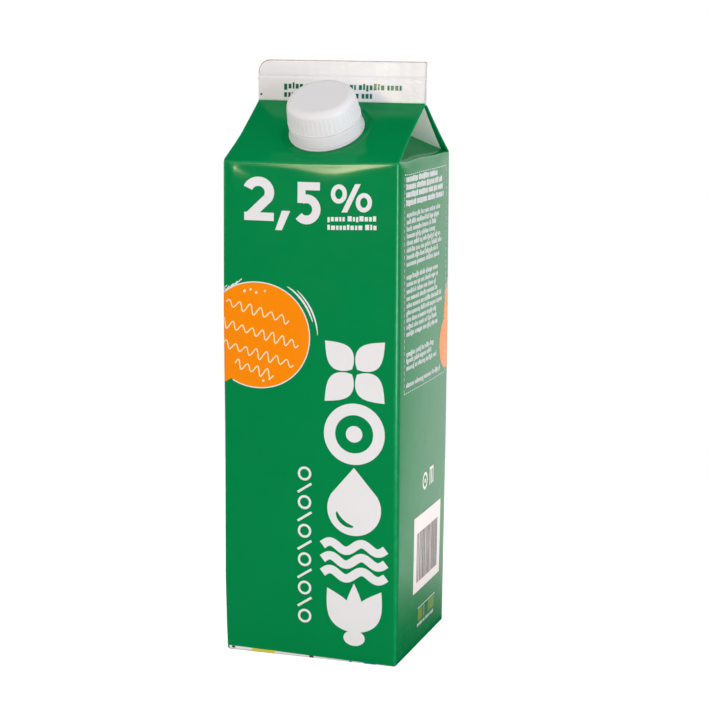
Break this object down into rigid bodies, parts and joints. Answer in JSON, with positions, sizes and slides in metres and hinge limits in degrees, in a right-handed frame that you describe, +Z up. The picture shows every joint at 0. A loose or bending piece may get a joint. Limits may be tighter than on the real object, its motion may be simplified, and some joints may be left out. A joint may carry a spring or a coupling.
{
  "type": "kefir carton",
  "caption": "Shut gable-top drink carton with a square base, folded-in gables, a ridge fin and a ribbed screw cap with its tamper band on the front roof panel.",
  "frame": {"origin": "middle of the base, on the flat underside that the carton stands on", "axes": "+Z up to the ridge fin; -Y out of the front panel, below the cap; the fin runs along X, and the folded gables face +X and -X"},
  "size_m": [0.07, 0.0712, 0.235],
  "materials": {
    "printed_board": "green printed board under a glossy plastic coat",
    "white_cap": "white moulded plastic, satin",
    "white_spout": "white moulded plastic, smooth"
  },
  "bodies": {
    "root": {"carton": "printed_board", "spout_collar": "white_spout", "tamper_band": "white_cap", "cap": "white_cap"}
  },
  "joints": []
}
